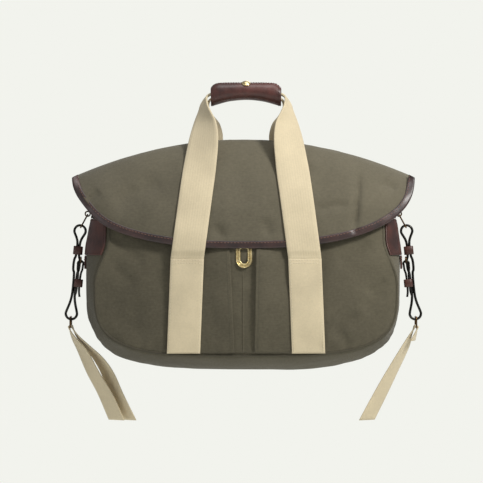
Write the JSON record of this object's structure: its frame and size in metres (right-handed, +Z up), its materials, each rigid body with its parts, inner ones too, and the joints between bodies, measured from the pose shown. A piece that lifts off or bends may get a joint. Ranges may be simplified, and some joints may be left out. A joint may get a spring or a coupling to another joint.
{
  "type": "satchel bag",
  "caption": "Canvas bag with a domed flap, webbing handles in a leather grip, a front lock and side hooks that hold a shoulder strap.",
  "frame": {"origin": "middle of the hand grip, from which the bag hangs", "axes": "+X to the right when facing the front, -Y out of the front, +Z up"},
  "size_m": [0.542, 0.174, 0.5145],
  "materials": {
    "canvas": "coarse olive canvas",
    "flap_canvas": "coarse olive canvas",
    "lining_cloth": "plain cloth",
    "webbing": "natural cotton webbing",
    "grip_leather": "glossy dark brown",
    "binding_leather": "glossy near black brown",
    "side_leather": "satin brown",
    "brass": "polished",
    "bronze": "aged",
    "black_wire": "black finish on steel wire"
  },
  "bodies": {
    "bag": {"front_panel": "canvas", "back_panel": "canvas", "gusset": "canvas", "lining": "lining_cloth", "inner_pocket": "lining_cloth", "front_pocket": "canvas", "front_piping": "canvas", "back_piping": "canvas", "front_strap_sewn_left": "webbing", "front_strap_sewn_right": "webbing", "back_strap_sewn_left": "webbing", "back_strap_sewn_right": "webbing", "side_patch_left": "side_leather", "side_patch_right": "side_leather", "ring_tab_left": "side_leather", "ring_tab_right": "side_leather", "hook_tab_left": "side_leather", "hook_tab_right": "side_leather", "side_ring_left": "bronze", "side_ring_right": "bronze", "tab_ring_left": "bronze", "tab_ring_right": "bronze", "lock_plate": "brass", "loop_clip": "brass"},
    "flap": {"flap_panel": "flap_canvas", "flap_binding": "binding_leather", "flap_stud": "brass"},
    "front_handle": {"front_webbing": "webbing", "grip_wrap": "grip_leather", "grip_stud_socket": "brass"},
    "cover": {"grip_cover": "grip_leather", "grip_stud": "brass"},
    "back_handle": {"back_webbing": "webbing"},
    "loop": {"lock_loop": "brass"},
    "link_left": {"side_link_left": "bronze"},
    "hook_left": {"strap_hook_left": "black_wire"},
    "keeper_left": {"hook_keeper_left": "side_leather"},
    "short_hook_left": {"tab_hook_left": "black_wire"},
    "short_keeper_left": {"tab_hook_keeper_left": "side_leather"},
    "strap_left": {"strap_ring_left": "bronze", "shoulder_strap_left": "webbing"},
    "link_right": {"side_link_right": "bronze"},
    "hook_right": {"strap_hook_right": "black_wire"},
    "keeper_right": {"hook_keeper_right": "side_leather"},
    "short_hook_right": {"tab_hook_right": "black_wire"},
    "short_keeper_right": {"tab_hook_keeper_right": "side_leather"},
    "strap_right": {"strap_ring_right": "bronze", "shoulder_strap_right": "webbing"}
  },
  "joints": [
    {"name": "front_handle_drop", "type": "hinge", "parent": "bag", "child": "front_handle", "pos_m": [0, -0.08313, -0.2518], "axis": [1, 0, 0], "range_deg": [0, 140], "deforming": ["front_webbing"]},
    {"name": "back_handle_drop", "type": "hinge", "parent": "bag", "child": "back_handle", "pos_m": [0, 0.08313, -0.2518], "axis": [-1, 0, 0], "range_deg": [0, 140], "deforming": ["back_webbing"]},
    {"name": "flap_lift", "type": "hinge", "parent": "bag", "child": "flap", "pos_m": [-0.004, 0.0465, -0.147], "axis": [-1, 0, 0], "range_deg": [0, 154]},
    {"name": "grip_cover_open", "type": "hinge", "parent": "front_handle", "child": "cover", "pos_m": [0, -0.0165, -0.0236], "axis": [1, 0, 0], "range_deg": [0, 95]},
    {"name": "lock_loop_swing", "type": "hinge", "parent": "bag", "child": "loop", "pos_m": [-0.003, -0.08151, -0.23618], "axis": [-1, 0, 0], "range_deg": [0, 30]},
    {"name": "side_link_swing_left", "type": "hinge", "parent": "bag", "child": "link_left", "pos_m": [-0.2399, 0.004, -0.1882], "axis": [0, 1, 0], "range_deg": [0, 20]},
    {"name": "strap_hook_swing_left", "type": "hinge", "parent": "link_left", "child": "hook_left", "pos_m": [-0.2506, 0.004, -0.2053], "axis": [0, 1, 0], "range_deg": [0, 40]},
    {"name": "hook_keeper_slide_left", "type": "slide", "parent": "hook_left", "child": "keeper_left", "axis": [0.1045, 0, 0.9945], "range_m": [0, 0.006]},
    {"name": "shoulder_strap_swing_left", "type": "hinge", "parent": "hook_left", "child": "strap_left", "pos_m": [-0.26555, 0.004, -0.34422], "axis": [1, 0, 0], "range_deg": [-40, 40]},
    {"name": "tab_hook_swing_left", "type": "hinge", "parent": "bag", "child": "short_hook_left", "pos_m": [-0.2495, -0.012, -0.2588], "axis": [0, 1, 0], "range_deg": [0, 45]},
    {"name": "tab_keeper_slide_left", "type": "slide", "parent": "short_hook_left", "child": "short_keeper_left", "axis": [0.1045, 0, 0.9945], "range_m": [0, 0.005]},
    {"name": "side_link_swing_right", "type": "hinge", "parent": "bag", "child": "link_right", "pos_m": [0.2319, 0.004, -0.1882], "axis": [0, -1, 0], "range_deg": [0, 20]},
    {"name": "strap_hook_swing_right", "type": "hinge", "parent": "link_right", "child": "hook_right", "pos_m": [0.2426, 0.004, -0.2053], "axis": [0, -1, 0], "range_deg": [0, 40]},
    {"name": "hook_keeper_slide_right", "type": "slide", "parent": "hook_right", "child": "keeper_right", "axis": [-0.1045, 0, 0.9945], "range_m": [0, 0.006]},
    {"name": "shoulder_strap_swing_right", "type": "hinge", "parent": "hook_right", "child": "strap_right", "pos_m": [0.25755, 0.004, -0.34422], "axis": [1, 0, 0], "range_deg": [-40, 40]},
    {"name": "tab_hook_swing_right", "type": "hinge", "parent": "bag", "child": "short_hook_right", "pos_m": [0.2415, -0.012, -0.2588], "axis": [0, -1, 0], "range_deg": [0, 45]},
    {"name": "tab_keeper_slide_right", "type": "slide", "parent": "short_hook_right", "child": "short_keeper_right", "axis": [-0.1045, 0, 0.9945], "range_m": [0, 0.005]}
  ],
  "couplings": [
    {"joint": "back_handle_drop", "follows": "front_handle_drop", "ratio": 1},
    {"joint": "flap_lift", "follows": "front_handle_drop", "ratio": 1.1}
  ]
}
